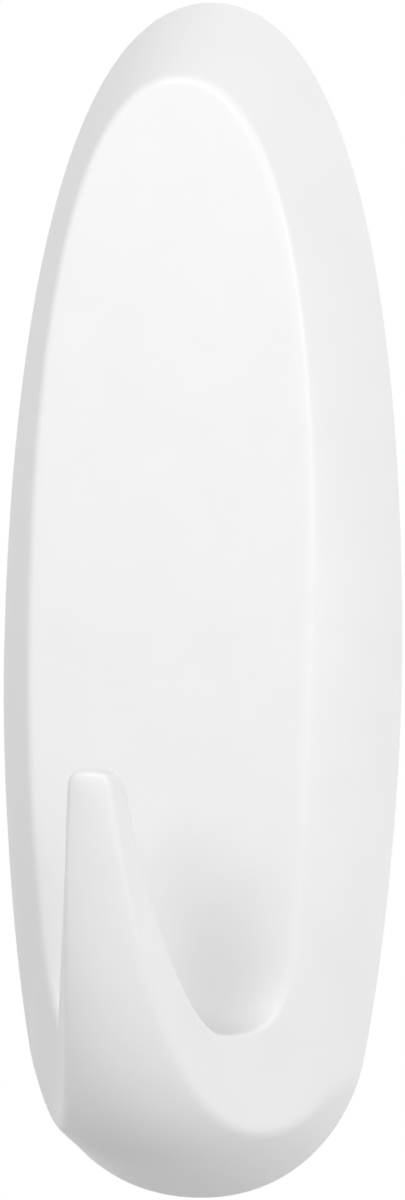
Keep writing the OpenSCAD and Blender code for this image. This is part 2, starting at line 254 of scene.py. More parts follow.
def trace(chain):
    t = np.linspace(0, 1, STEPS + 1)
    return np.concatenate([bezier(curve, t)[:-1] for curve in chain] + [np.array([chain[-1][3]], float)])


def on_face(x, z):
    return [x, face_top_depth + (face_mid_depth - face_top_depth) * (1 - z / face_top), z]


# %% Outer edge, inner edge and crest
up_dir = unit([-tongue_turn[0], tongue_turn[1], 1])
leave_point = np.array([leave_w / 2, rim_gap, leave_z])
leave_dir = unit([-rim_turn, 0, -1])
side_run = widest_z - leave_z
rim_top = [[0, rim_gap, top_z], [rim_top_full[0] * half_w, rim_gap, top_z],
           [half_w, rim_gap, widest_z + rim_top_full[1] * (top_z - widest_z)], [half_w, rim_gap, widest_z]]
rim_side = [rim_top[3], [half_w, rim_gap, widest_z - rim_side_full[0] * side_run],
            leave_point - leave_dir * rim_side_full[1] * side_run, leave_point]
rim_low = [leave_point, leave_point + leave_dir * rim_low_full[0] * leave_h,
           [rim_low_full[1] * leave_w / 2, rim_gap, low_z], [0, rim_gap, low_z]]
heel_point = np.array([heel_w / 2, heel_depth, heel_z])
heel_dir = unit([-heel_turn, 1, 0])
shoulder = np.array([tip_w / 2, tip_reach - tip_round * tongue_turn[1], shoulder_z])
tongue_run = shoulder_z - heel_z
crease_dir = unit([-crease_turn[0], crease_turn[1], -1])
heel_edge = [leave_point, leave_point + crease_dir * (leave_z - heel_z) * heel_reach[0],
             heel_point - heel_dir * heel_depth * heel_reach[1], heel_point]
front_edge = [heel_point, heel_point + heel_dir * (tip_reach - heel_depth) * front_reach[0],
              shoulder - up_dir * tongue_run * front_reach[1], shoulder]


def tip_curve(start, end):
    return [start, start + up_dir * tip_round * tip_full, end + np.array([start[0] * tip_full, 0, 0]), end]


tip_point = np.array([0, tip_reach, tip_z])
outer = trace([rim_top, rim_side, heel_edge, front_edge, tip_curve(shoulder, tip_point)])

face_side = np.array([bend_w / 2, bend_depth, bend_z])
side_dir = unit([-dip_turn[0], -dip_turn[1], -1])
floor_point = np.array([floor_w / 2, floor_depth, floor_z])
floor_dir = np.array([-floor_turn, 1, 0])
floor_run = floor_depth - bend_depth
back_shoulder = np.array([tip_back_w / 2, tip_reach - tip_t - tip_round * tongue_turn[1], shoulder_z])
back_tip = np.array([0, tip_reach - tip_t, tip_z])
inner = trace([
    [on_face(0, face_top), on_face(face_full[0] * face_w / 2, face_top),
     on_face(face_w / 2, face_full[1] * face_top), on_face(face_w / 2, 0)],
    [on_face(face_w / 2, 0), on_face(face_w / 2, bend_z * bend_reach[0]),
     face_side + side_dir * bend_z * bend_reach[1], face_side],
    [face_side, face_side + side_dir * (bend_z - floor_z) * floor_reach[0],
     floor_point - floor_dir * floor_run * floor_reach[1], floor_point],
    [floor_point, floor_point + floor_dir * floor_run * floor_reach[2],
     back_shoulder - up_dir * (shoulder_z - floor_z) * back_reach, back_shoulder],
    tip_curve(back_shoulder, back_tip),
])
crest_dir = unit([0, 1, heel_rise])
crest_start = np.array([0, rim_gap, low_z])
crest_heel = np.array([0, heel_depth, heel_z - heel_sag])
crest_shoulder = np.array([0, shoulder[1] + tip_w * crest_swell, shoulder_z])
crest = trace([
    [crest_start, crest_start + crest_dir * heel_depth * crest_reach[0],
     crest_heel - crest_dir * heel_depth * crest_reach[0], crest_heel],
    [crest_heel, crest_heel + crest_dir * (tip_reach - heel_depth) * crest_reach[1],
     crest_shoulder - np.array([0, crest_turn, 1]) * tongue_run * crest_reach[2], crest_shoulder],
    tip_curve(crest_shoulder, tip_point),
])
LEAVE, LAST = 2 * STEPS, 5 * STEPS
print("stations along each edge:", len(outer), "and along the crest:", len(crest))

# %% [markdown]
# ## Rounding the edges
# A moulded edge is never sharp: it is a narrow band that turns from one surface into the next and catches
# the light. For each edge this step finds two border lines, one on each neighbouring surface, a radius away
# from the edge. The band between them is then a row of small curves whose middle handle is the sharp edge
# itself. The radius along the tongue's front edge starts at nothing where that edge leaves the rim, so the
# crease fades in.

# %% Borders of the rounded bands
# Radii at the face, at the tongue's back, along the heel and along the tongue's front, in millimetres
FACE_R, BACK_R, HEEL_R, FRONT_R = 0.6, 0.35, 0.8, 0.5
# Where the radii change, counted in curves along the edge, and over how many curves
FADE_RUN, NARROW_FROM, NARROW_RUN, CRISP_FROM, CRISP_RUN = 0.7, 2.8, 1, 2.6, 0.7
# Limits of a radius and of a border's place, as shares of the bevel's width
R_LIMIT, BORDER_LIMIT = 0.42, 0.45
# The bevel's bulge as a share of its width, at places counted in curves: it bulges along the sides, is flat
# at the top and is a little hollow below the pocket
BULGE_AT = [0, 0.4, 1, 1.7, 2.5, 3.2, 3.8, 5]
BULGES = [0, 0, 0.035, 0.035, -0.015, -0.015, 0, 0]
# Added to directions that can be zero, so that each has a length
TINY = 1e-12


def tangent(line):
    """Directions along an edge that starts and ends across the middle plane."""
    flip = np.array([-1, 1, 1])
    longer = np.concatenate([[line[1] * flip], line, [line[-2] * flip]])
    return unit(longer[2:] - longer[:-2])


outer_run, inner_run = tangent(outer), tangent(inner)
bevel = inner - outer
bevel_width = np.linalg.norm(bevel, axis=1, keepdims=True)
stations = np.arange(LAST + 1)
bulge = np.interp(stations / STEPS, BULGE_AT, BULGES)[:, None]
outward = unit(np.cross(outer_run, bevel)) * bevel_width * bulge
bevel_handle = (outer + inner) / 2 + 2 * outward


def across(k, t):
    """A point of the bevel at a station, a share of the way from the outer to the inner edge."""
    t = np.asarray(t, float)[:, None]
    return outer[k] * (1 - t) ** 2 + bevel_handle[k] * 2 * t * (1 - t) + inner[k] * t ** 2


def lean(run, row):
    """Sine of the angle between an edge and the rows that meet it."""
    return np.linalg.norm(np.cross(run, unit(row + TINY)), axis=1)


def ease(start, run):
    """A smooth step from 0 to 1 along the stations, with its start and its run counted in curves."""
    t = np.clip((stations - start * STEPS) / (run * STEPS), 0, 1)
    return t ** 2 * (3 - 2 * t)


front_r = (HEEL_R + (FRONT_R - HEEL_R) * ease(NARROW_FROM, NARROW_RUN)) * ease(LEAVE / STEPS, FADE_RUN)
edge_r = FACE_R + (BACK_R - FACE_R) * ease(CRISP_FROM, CRISP_RUN)
edge_r = np.minimum(edge_r, R_LIMIT * bevel_width[:, 0])
near_inner = 1 - np.clip(edge_r / (bevel_width[:, 0] * lean(inner_run, bevel)), 0, BORDER_LIMIT)
near_outer = np.clip(front_r / (bevel_width[:, 0] * lean(outer_run, bevel)), 0, BORDER_LIMIT)
bevel_in, bevel_out = across(stations, near_inner), across(stations, near_outer)

# The face, the pocket and the tongue's back are straight across, so a border point is found along the profile
profile = inner[:, 1:]
along = np.concatenate([[0], np.cumsum(np.linalg.norm(np.diff(profile, axis=0), axis=1))])
slope = unit(np.gradient(profile, axis=0) + TINY)
slope[:2], slope[-2:] = slope[2], slope[-3]
down = (inner_run[:, 1:] * slope).sum(1)
flat_run = unit(np.stack([inner_run[:, 0], down], 1))
step_in, step_down = -np.abs(flat_run[:, 1]), flat_run[:, 0]
face_x = np.maximum(inner[:, 0] + edge_r * step_in, 0)
face_at = np.clip(along + edge_r * step_down, edge_r[0], along[-1] - edge_r[-1])
face_border = np.stack([face_x, *(np.interp(face_at, along, profile[:, i]) for i in (0, 1))], 1)
print("bevel", bevel_width.min().round(2), "to", bevel_width.max().round(2), "mm wide")

# %% [markdown]
# The heel and the tongue's front are arched across. Each half of a cross row is one Bezier curve from the
# crest to the edge, with the same proportions as the rim's lower end, so at the rim the rows become the rim
# itself. Near the tip the rows run along the rounded end instead of meeting it, so there the border is
# found by its height.

# %% Rows across the heel
low_x = np.array([p[0] / leave_point[0] for p in rim_low[::-1]])
low_up = np.array([(p[2] - low_z) / (leave_z - low_z) for p in rim_low[::-1]])
# Further out the rows become a plain arch, after a run counted in curves
ARCH_X, ARCH_UP, ARCH_RUN = np.array([0, 0.36, 0.7, 1]), np.array([0, 0, 0.36, 1]), 1.3


def heel_row(k):
    """Four handles from the crest to the edge, at any place along the tongue."""
    k = np.asarray(k, float)
    edge = np.stack([np.interp(k, stations, outer[:, i]) for i in range(3)], 1)
    middle = np.stack([np.interp(k - LEAVE, np.arange(len(crest)), crest[:, i]) for i in range(3)], 1)
    arched = np.clip((k - LEAVE) / (ARCH_RUN * STEPS), 0, 1)[:, None]
    up = low_up + (ARCH_UP - low_up) * arched
    rows = middle[:, None] + (edge - middle)[:, None] * up[:, :, None]
    rows[:, :, 0] = edge[:, :1] * (low_x + (ARCH_X - low_x) * arched)
    return rows


def cut_row(rows, s):
    """The same rows from the crest to a share s of the way, by de Casteljau's steps."""
    s = np.asarray(s)[:, None]
    a, b, c, d = (rows[:, i] for i in range(4))
    ab, bc, cd = a + (b - a) * s, b + (c - b) * s, c + (d - c) * s
    abc, bcd = ab + (bc - ab) * s, bc + (cd - bc) * s
    return np.stack([a, ab, abc, abc + (bcd - abc) * s], 1)


# Points along a row, and how many of the last ones give its angle at the edge
ROW_POINTS, END_POINTS = 201, 9
# Where a row runs along the edge instead of across it, its angle counts as no flatter than this sine
LEAST_LEAN = 0.5
# Small steps along and across the heel, in stations and in shares of a row
ALONG_STEP, ACROSS_STEP = 0.5, 0.01
tongue = np.arange(LEAVE, LAST + 1)
share = np.linspace(0, 1, ROW_POINTS)
basis = bezier(np.eye(4), share)
rows = heel_row(tongue)
samples = np.einsum("si,kic->ksc", basis, rows)
to_edge = np.linalg.norm(samples - samples[:, -1:], axis=2)
row_lean = np.maximum(lean(outer_run[tongue], samples[:, -1] - samples[:, -END_POINTS]), LEAST_LEAN)
cut_at = np.array([np.interp(r, d[::-1], share[::-1]) for r, d in zip(front_r[tongue] / row_lean, to_edge)])
cut_k = tongue.astype(float)
end = tongue >= LAST - STEPS
end_run = unit(outer_run[tongue][end][:, [0, 2]])
end_r = front_r[tongue][end]
end_x = np.maximum(outer[tongue][end][:, 0] - end_r * end_run[:, 1], 0)
end_z = outer[tongue][end][:, 2] + end_r * end_run[:, 0]
cut_k[end] = np.interp(end_z, outer[LAST - STEPS:, 2], stations[LAST - STEPS:])
end_edge = np.maximum(np.interp(cut_k[end], stations, outer[:, 0]), 1e-9)
end_cut = np.interp(end_x / end_edge, basis @ ARCH_X, share)
# Along the curve before the tip the shares are led over to those of the tip
mend = np.clip((tongue[~end] - (LAST - 2 * STEPS)) / STEPS, 0, 1) ** 2
cut_at[~end] += mend * (end_cut[0] - cut_at[~end][-1])
cut_at[end] = end_cut
heel_half = cut_row(heel_row(cut_k), cut_at)
heel_border = heel_half[:, 3]


def heel_point_at(k, s):
    return cut_row(heel_row(np.clip(k, LEAVE, LAST)), s)[:, 3]


# The heel's surface direction at its border, which the rounded band has to keep
up_step = heel_point_at(cut_k + ALONG_STEP, cut_at) - heel_point_at(cut_k - ALONG_STEP, cut_at)
side_step = heel_point_at(cut_k, cut_at + ACROSS_STEP) - heel_point_at(cut_k, cut_at - ACROSS_STEP)
heel_normal = unit(np.cross(side_step, up_step))
print("front edge rounded to", FRONT_R, "mm; shares kept", cut_at.min().round(3), "to", cut_at.max().round(3))

# %% [markdown]
# ## A loft in Geometry Nodes
# Every surface of the moulding follows one rule: at each station along the hook, a short curve with four
# handles goes across. Geometry Nodes can draw that rule directly. The tree takes a line of points whose
# attributes hold the other three handles, makes a grid with one row per station, and places each grid point
# by mixing the handles three times over, which is de Casteljau's way to walk along a Bezier curve.

# %% The loft tree
loft_tree = bpy.data.node_groups.new("loft_between_guides", "GeometryNodeTree")
for label, kind in [("Geometry", "NodeSocketGeometry"), ("Steps Across", "NodeSocketInt"),
                    ("Material", "NodeSocketMaterial")]:
    loft_tree.interface.new_socket(label, in_out="INPUT", socket_type=kind)
loft_tree.interface.new_socket("Geometry", in_out="OUTPUT", socket_type="NodeSocketGeometry")
given = add(loft_tree, "NodeGroupInput")
count = add(loft_tree, "GeometryNodeAttributeDomainSize", {"Geometry": given.outputs["Geometry"]})
columns = add(loft_tree, "ShaderNodeMath", {0: given.outputs["Steps Across"], 1: 1.0}, operation="ADD")
grid = add(loft_tree, "GeometryNodeMeshGrid",
           {"Vertices X": count.outputs["Point Count"], "Vertices Y": columns.outputs[0]})
index = add(loft_tree, "GeometryNodeInputIndex")
station = add(loft_tree, "ShaderNodeMath", {0: index.outputs[0], 1: columns.outputs[0]}, operation="DIVIDE")
station = add(loft_tree, "ShaderNodeMath", {0: station.outputs[0]}, operation="FLOOR")
column = add(loft_tree, "ShaderNodeMath", {0: index.outputs[0], 1: columns.outputs[0]}, operation="MODULO")
share_across = add(loft_tree, "ShaderNodeMath", {0: column.outputs[0], 1: given.outputs["Steps Across"]},
                   operation="DIVIDE")
handles = []
for label in ("position", "handle_1", "handle_2", "end"):
    stored = add(loft_tree, "GeometryNodeInputNamedAttribute", {"Name": label}, data_type="FLOAT_VECTOR")
    handles.append(add(loft_tree, "GeometryNodeSampleIndex", {
        "Geometry": given.outputs["Geometry"], "Value": stored.outputs[0], "Index": station.outputs[0],
    }, data_type="FLOAT_VECTOR").outputs[0])
while len(handles) > 1:
    mixes = [add(loft_tree, "ShaderNodeMix", {0: share_across.outputs[0], 4: a, 5: b}, data_type="VECTOR")
             for a, b in zip(handles, handles[1:])]
    handles = [mix.outputs[1] for mix in mixes]
moved = add(loft_tree, "GeometryNodeSetPosition", {"Geometry": grid.outputs["Mesh"], "Position": handles[0]})
whole = add(loft_tree, "GeometryNodeRealizeInstances", {"Geometry": moved.outputs[0]})
coated = add(loft_tree, "GeometryNodeSetMaterial",
             {"Geometry": whole.outputs[0], "Material": given.outputs["Material"]})
add(loft_tree, "NodeGroupOutput", {"Geometry": coated.outputs[0]})
print("loft tree:", len(loft_tree.nodes), "nodes")


# %% Helpers that turn guide lines into meshes
def placed(points, side=1):
    """From [half width, depth, height] in millimetres to the frame, on the right or mirrored to the left."""
    return np.asarray(points, float) * np.array([side, -1, 1]) * MM


def new_object(name, mesh):
    made = bpy.data.objects.new(name, mesh)
    scene.collection.objects.link(made)
    return made


def finished(obj):
    """The mesh that an object's modifiers give, with the object itself removed."""
    graph = bpy.context.evaluated_depsgraph_get()
    mesh = bpy.data.meshes.new_from_object(obj.evaluated_get(graph))
    old = obj.data
    bpy.data.objects.remove(obj)
    bpy.data.meshes.remove(old)
    return mesh


def with_nodes(name, mesh, node_tree, values):
    """The plain mesh that a node tree makes of a mesh, with its inputs set by name."""
    obj = new_object(name, mesh)
    modifier = obj.modifiers.new(node_tree.name, "NODES")
    modifier.node_group = node_tree
    for item in node_tree.interface.items_tree:
        if item.in_out == "INPUT" and item.name in values:
            modifier[item.identifier] = values[item.name]
    return finished(obj)


def loft(name, lines, steps, material):
    """One surface from four guide lines, each an array of points in the frame."""
    mesh = bpy.data.meshes.new(name)
    mesh.from_pydata([tuple(p) for p in lines[0]], [], [])
    for label, line in zip(("handle_1", "handle_2", "end"), lines[1:]):
        mesh.attributes.new(label, "FLOAT_VECTOR", "POINT").data.foreach_set(
            "vector", np.asarray(line, np.float32).ravel())
    return with_nodes(name, mesh, loft_tree, {"Steps Across": steps, "Material": material})


def through(start, corner, end):
    """Four handles of the curve from start to end that heads for a corner and turns before it."""
    return [start, start + (corner - start) * 2 / 3, end + (corner - end) * 2 / 3, end]


def piece(name, bm, mesh, material, sharp_degrees):
    """The finished object of a closed mesh, smooth but for edges that turn more than an angle."""
    print(name, len(bm.faces), "faces, volume", round(bm.calc_volume() / MM ** 3, 1), "mm3, open edges",
          sum(not e.is_manifold for e in bm.edges))
    bm.to_mesh(mesh)
    bm.free()
    mesh.shade_smooth()
    mesh.set_sharp_from_angle(angle=math.radians(sharp_degrees))
    mesh.materials.clear()
    mesh.materials.append(material)
    return new_object(name, mesh)


print("mesh helpers ready")

# %% [markdown]
# ## Materials
# Even a plain white plastic is not one colour: the pigment mottles a little, the mould's satin finish is
# rougher in some places than in others, and a fine grain breaks up the highlights. One recipe gives all of
# that from two noise patterns, with sizes in real millimetres, and each material below fills in its own
# numbers.

# %% One recipe for mottled, grainy surfaces
# Most of a noise pattern lies between these two values
NOISE_LOW, NOISE_HIGH = 0.3, 0.7


def surface(name, light, dark, mottle, rough, grain, depth):
    """Mottling, grain and the grain's depth are sizes in millimetres; rough is the range of roughness."""
    material = bpy.data.materials.new(name)
    material.use_nodes = True
    nodes = material.node_tree
    nodes.nodes.clear()
    spot = add(nodes, "ShaderNodeTexCoord").outputs["Object"]
    cloud = add(nodes, "ShaderNodeTexNoise", {"Vector": spot, "Scale": 1 / (mottle * MM), "Detail": 4.0})
    tone = add(nodes, "ShaderNodeMix", {0: cloud.outputs[0], 6: linear(dark), 7: linear(light)},
               data_type="RGBA")
    gloss = add(nodes, "ShaderNodeMapRange", {
        "Value": cloud.outputs[0], "From Min": NOISE_LOW, "From Max": NOISE_HIGH,
        "To Min": rough[0], "To Max": rough[1],
    })
    fine = add(nodes, "ShaderNodeTexNoise", {"Vector": spot, "Scale": 1 / (grain * MM), "Detail": 2.0})
    bump = add(nodes, "ShaderNodeBump", {"Height": fine.outputs[0], "Distance": depth * MM})
    shader = add(nodes, "ShaderNodeBsdfPrincipled", {
        "Base Color": tone.outputs[2], "Roughness": gloss.outputs[0], "Normal": bump.outputs[0],
    })
    add(nodes, "ShaderNodeOutputMaterial", {"Surface": shader.outputs[0]})
    return material


# %% The materials of the hook
# All of these have an IOR near 1.5, the shader's default, and none is a metal

# Satin ABS from a fine-blasted mould: bright and soft, with broad highlights along the rounded edges. The
# real grain is too fine to show, so it is drawn as coarse as 0.35 mm
cover_abs = surface("satin_moulded_white_abs", "#F5F5F5", "#F1F1F2", 6, (0.36, 0.44), 0.35, 0.004)
# The hidden base is moulded in a plainer, rougher mould, so it looks greyer and flatter than the cover. Its
# grain, too, is drawn coarse enough to show
base_abs = surface("matte_moulded_white_abs", "#ECECE8", "#E2E2DE", 4, (0.55, 0.68), 0.5, 0.012)
# Closed-cell foam: chalky, with small dark cells
foam_pe = surface("white_closed_cell_pe_foam", "#F0F0EA", "#D6D5CD", 0.5, (0.8, 0.92), 0.3, 0.06)
# The thin film on each side of the foam: smoother and a little glossy, with faint wrinkles
film_pe = surface("translucent_blown_pe_film", "#E9E9E4", "#DCDCD6", 2.5, (0.25, 0.4), 1.2, 0.02)
# Bare adhesive: wet-looking and slightly yellow, with a soft orange-peel
adhesive_gum = surface("coated_clear_acrylic_adhesive", "#F2F0E8", "#EAE7DC", 1.5, (0.12, 0.25), 0.8, 0.02)
# The pull tab's covers: calendered paper, with its fibres drawn thick enough to show
tab_paper = surface("calendered_white_paper", "#F3F2EE", "#E4E3DD", 0.8, (0.6, 0.75), 0.15, 0.02)
print("materials:", [m.name for m in bpy.data.materials])

# %% [markdown]
# ## The cover's outer skin
# The skin is sewn together from lofts: the bevel that rises from the rim, the rounded band at its inner
# edge, the face with the pocket and the tongue's back, the heel with the tongue's front, and the rounded
# band along the tongue's edge. Each band starts in the direction in which its neighbour ends, so no line
# shows between them.

# %% Loft the skin
# Faces across each surface
BEVEL_STEPS, INNER_STEPS, HEEL_STEPS, FRONT_STEPS, FACE_STEPS = 12, 7, 22, 6, 44


def steer(start, along_dir, corner):
    """A handle that keeps a surface's direction for two thirds of the way to a corner."""
    reach = np.linalg.norm(corner - start, axis=1, keepdims=True)
    return start + unit(along_dir + TINY) * reach * 2 / 3


def bevel_dir(t):
    t = t[:, None]
    return (bevel_handle - outer) * (1 - t) + (inner - bevel_handle) * t


start, stop = near_outer[:, None], near_inner[:, None]
bevel_corner = (outer * (1 - start) * (1 - stop) + bevel_handle * (start * (1 - stop) + stop * (1 - start))
                + inner * start * stop)
bevel_lines = through(bevel_out, bevel_corner, bevel_in)
inner_band = [bevel_in, steer(bevel_in, bevel_dir(near_inner), inner),
              face_border + (inner - face_border) * 2 / 3, face_border]
heel_lines = [heel_half[:, i] for i in range(4)]
to_corner = outer[tongue] - heel_border
to_corner = to_corner - (to_corner * heel_normal).sum(1, keepdims=True) * heel_normal
front_band = [heel_border, steer(heel_border, to_corner, outer[tongue]),
              steer(bevel_out, -bevel_dir(near_outer), outer)[tongue], bevel_out[tongue]]
patches = []
for side in (1, -1):
    for label, lines, steps in [("bevel", bevel_lines, BEVEL_STEPS), ("inner_band", inner_band, INNER_STEPS),
                                ("heel", heel_lines, HEEL_STEPS), ("front_band", front_band, FRONT_STEPS)]:
        patches.append(loft(label, [placed(line, side) for line in lines], steps, cover_abs))
left, right = placed(face_border, -1), placed(face_border)
patches.append(loft("face", [left + (right - left) * s for s in (0, 1 / 3, 2 / 3, 1)], FACE_STEPS, cover_abs))


# %% Sew the skin and close its back
# Points closer than a weld become one, and edges shorter than a sliver are taken out
WELD, SLIVER = 0.002 * MM, 0.001 * MM
# The skin is relaxed fully up to the near distance from a point and not past the far one, in millimetres
RELAX_NEAR, RELAX_FAR, RELAX_ROUNDS, RELAX_PULL = 2.0, 9.0, 80, 0.5


def sewn(meshes):
    made = bmesh.new()
    for mesh in meshes:
        made.from_mesh(mesh)
        bpy.data.meshes.remove(mesh)
    bmesh.ops.remove_doubles(made, verts=made.verts, dist=WELD)
    bmesh.ops.dissolve_degenerate(made, dist=SLIVER, edges=made.edges)
    return made


bm = sewn(patches)
rim_edges = [e for e in bm.edges if e.is_boundary]
print("open edges:", len(rim_edges), "at depth",
      {round(-v.co.y / MM, 2) for e in rim_edges for v in e.verts})

# Where the tongue's edge leaves the rim the crease dies out, so the skin is relaxed there, but not the rim
held = {v for e in rim_edges for v in e.verts}
leave_at = placed(leave_point)
relaxing = []
for v in bm.verts:
    away = (Vector((abs(v.co.x), v.co.y, v.co.z)) - Vector(leave_at)).length / MM
    if away < RELAX_FAR and v not in held:
        fade = min(1.0, (RELAX_FAR - away) / (RELAX_FAR - RELAX_NEAR))
        relaxing.append((v, RELAX_PULL * fade * fade * (3 - 2 * fade)))
for relax_round in range(RELAX_ROUNDS):
    moved_to = [
        v.co + (sum((e.other_vert(v).co for e in v.link_edges), Vector()) / len(v.link_edges) - v.co) * amount
        for v, amount in relaxing
    ]
    for (v, _), spot in zip(relaxing, moved_to):
        v.co = spot
print("relaxed", len(relaxing), "points of the skin")
bmesh.ops.holes_fill(bm, edges=rim_edges, sides=0)
bmesh.ops.recalc_face_normals(bm, faces=bm.faces)
cover_mesh = bpy.data.meshes.new("hook_cover_moulding")
bm.to_mesh(cover_mesh)
print("skin:", len(bm.faces), "faces, solid volume", round(bm.calc_volume() / MM ** 3), "mm3")
bm.free()

# %% [markdown]
# ## The hollow behind
# Behind the face the moulding is a shell about 2 mm thick, and the thick heel is cored out too, because
# thick plastic shrinks and leaves sink marks. The hollow's tool is a stack of ovals of the rim's form, with
# a rounded corner where its wall meets the ceiling, joined with a tapered core for the heel.

# %% Tools for the hollow and the heel's core
# Thickness of the shell, and the size of the hollow's rounded corner and the steps round it
shell_t, CORNER, CORNER_STEPS = 2, 1.2, 5
# Width and lower end of the heel's core, at the hollow's ceiling and at its far end, as shares of the heel's
# width and height; its depth and its top, as shares of the heel's depth and of the pocket floor's height
core_w_shares, core_low_shares, core_depth_share, core_top_share = (0.79, 0.46), (1.32, 1.37), 1.43, 0.78
# Radius of the core's corners, the points round it, and how far inside the hollow it starts
CORE_R, CORE_POINTS, CORE_OVERLAP = shell_t / 2, 32, 0.5
ceiling = bend_depth - shell_t
side_inset = shell_t * math.hypot(bevel_slope, 1)
top_inset = shell_t * math.hypot(top_bevel / (face_top_depth - rim_gap), 1)
rim_half = trace([rim_top, rim_side, rim_low])[:, [0, 2]]
back_oval = np.array([half_w - side_inset, top_z - top_inset, low_z + side_inset])
ceiling_oval = np.array([back_oval[0] - bevel_slope * (ceiling - rim_gap),
                         back_oval[1] - top_bevel * (ceiling - rim_gap) / (face_top_depth - rim_gap),
                         back_oval[2] + heel_rise * ceiling])


def oval(size, depth):
    """A closed loop of the rim's form from its half width, top and low ends."""
    half, top, low = size
    stretch = np.where(rim_half[:, 1] > widest_z, (top - widest_z) / (top_z - widest_z),
                       (low - widest_z) / (low_z - widest_z))
    loop = np.stack([rim_half[:, 0] * half / half_w, np.full(len(rim_half), depth),
                     widest_z + (rim_half[:, 1] - widest_z) * stretch], 1)
    return np.concatenate([placed(loop), placed(loop[-2:0:-1], -1)])


def tube(name, loops):
    """A closed mesh through loops of the same number of points, with a flat end at both sides."""
    size = len(loops[0])
    turns = [(j, (j + 1) % size) for j in range(size)]
    faces = [tuple(range(size)), tuple(range(len(loops) * size - 1, (len(loops) - 1) * size - 1, -1))]
    faces += [(i * size + b, i * size + a, i * size + size + a, i * size + size + b)
              for i in range(len(loops) - 1) for a, b in turns]
    mesh = bpy.data.meshes.new(name)
    mesh.from_pydata([tuple(p) for loop in loops for p in loop], [], faces)
    return outward_mesh(mesh)


def outward_mesh(mesh):
    made = bmesh.new()
    made.from_mesh(mesh)
    bmesh.ops.recalc_face_normals(made, faces=made.faces)
    made.to_mesh(mesh)
    made.free()
    return mesh


def hull(name, points):
    mesh = bpy.data.meshes.new(name)
    made = bmesh.new()
    for point in points:
        made.verts.new(point)
    result = bmesh.ops.convex_hull(made, input=made.verts)
    bmesh.ops.delete(made, geom=list({*result["geom_interior"], *result["geom_unused"]}), context="VERTS")
    made.to_mesh(mesh)
    made.free()
    return outward_mesh(mesh)


wall_at = 1 - CORNER / ceiling
loops = [oval(back_oval, 0), oval(back_oval + (ceiling_oval - back_oval) * wall_at, ceiling * wall_at)]
for t in np.linspace(0, 1, CORNER_STEPS + 1)[1:]:
    rise = wall_at * (1 - t) ** 2 + 2 * t * (1 - t) + t ** 2
    inset = np.array([1, 1, -1]) * CORNER * t ** 2
    loops.append(oval(back_oval + (ceiling_oval - back_oval) * rise - inset, ceiling * rise))
hollow = tube("hollow", loops)
core_top = low_z + floor_h * core_top_share
core_points = []
for far, depth in [(0, ceiling - CORE_OVERLAP), (0, ceiling), (1, heel_depth * core_depth_share)]:
    half, low = heel_w / 2 * core_w_shares[far], low_z + heel_h * core_low_shares[far]
    for turn in np.linspace(0, 2 * math.pi, CORE_POINTS + 1)[:-1]:
        x, z = CORE_R * math.cos(turn), CORE_R * math.sin(turn)
        core_points.append((math.copysign(half - CORE_R, x) + x, depth,
                            (core_top - CORE_R if z > 0 else low + CORE_R) + z))
core = hull("heel_core", placed(core_points))
print("hollow", [round(v, 2) for v in ceiling_oval], "at its ceiling")

# %% [markdown]
# ## Claws and the stop
# On each side of the hollow, at two heights, a rib comes down from the ceiling and ends in a lip that
# reaches behind an ear of the base plate; a slope on the lip's lower end leads it in. A web across the
# hollow comes to rest on the base's upper end. The two claws of one height are modelled once, and Geometry
# Nodes repeats the pair at both heights.

# %% One pair of claws
# Half width between the ribs and between the lips; depths of a lip's back, of its front and of the front's
# lower end; and the height of the slope there
RIB_IN, LIP_IN, LIP_BACK, LIP_FRONT, LIP_LEAD_FRONT, LIP_LEAD = 10.55, 8.45, 1.0, 2.25, 1.625, 2
# Length of an ear, heights of the two pairs, and how much longer a rib is at its root
EAR_L, EAR_UPPER, EAR_LOWER, DRAFT = 8, 20, -10, 0.4


def box(x, depth, z):
    return [(a, b, c) for a in x for b in depth for c in z]


claw_meshes = []
for side in (1, -1):
    rib = box((RIB_IN, half_w), (LIP_BACK, LIP_FRONT), (-EAR_L / 2, EAR_L / 2))
    rib += box((RIB_IN, half_w), (ceiling, ceiling + shell_t), (-EAR_L / 2 - DRAFT, EAR_L / 2 + DRAFT))
    lip = box((LIP_IN, half_w), (LIP_BACK, LIP_FRONT), (-EAR_L / 2 + LIP_LEAD, EAR_L / 2))
    lip += box((LIP_IN, half_w), (LIP_BACK, LIP_LEAD_FRONT), (-EAR_L / 2, EAR_L / 2))
    claw_meshes.append((hull("rib", placed(rib, side)), hull("lip", placed(lip, side))))


def combined(base, tool, operation):
    """A boolean of two closed meshes; both are used up."""
    whole, part = new_object("base", base), new_object("tool", tool)
    modifier = whole.modifiers.new("boolean", "BOOLEAN")
    modifier.object, modifier.operation, modifier.solver = part, operation, "MANIFOLD"
    mesh = finished(whole)
    bpy.data.objects.remove(part)
    bpy.data.meshes.remove(tool)
    return mesh


claw_right, claw_left = (combined(rib, lip, "UNION") for rib, lip in claw_meshes)
bm = sewn([claw_right, claw_left])
claw_pair = bpy.data.meshes.new("claw_pair")
bm.to_mesh(claw_pair)
bm.free()
print("claw pair:", len(claw_pair.polygons), "faces")

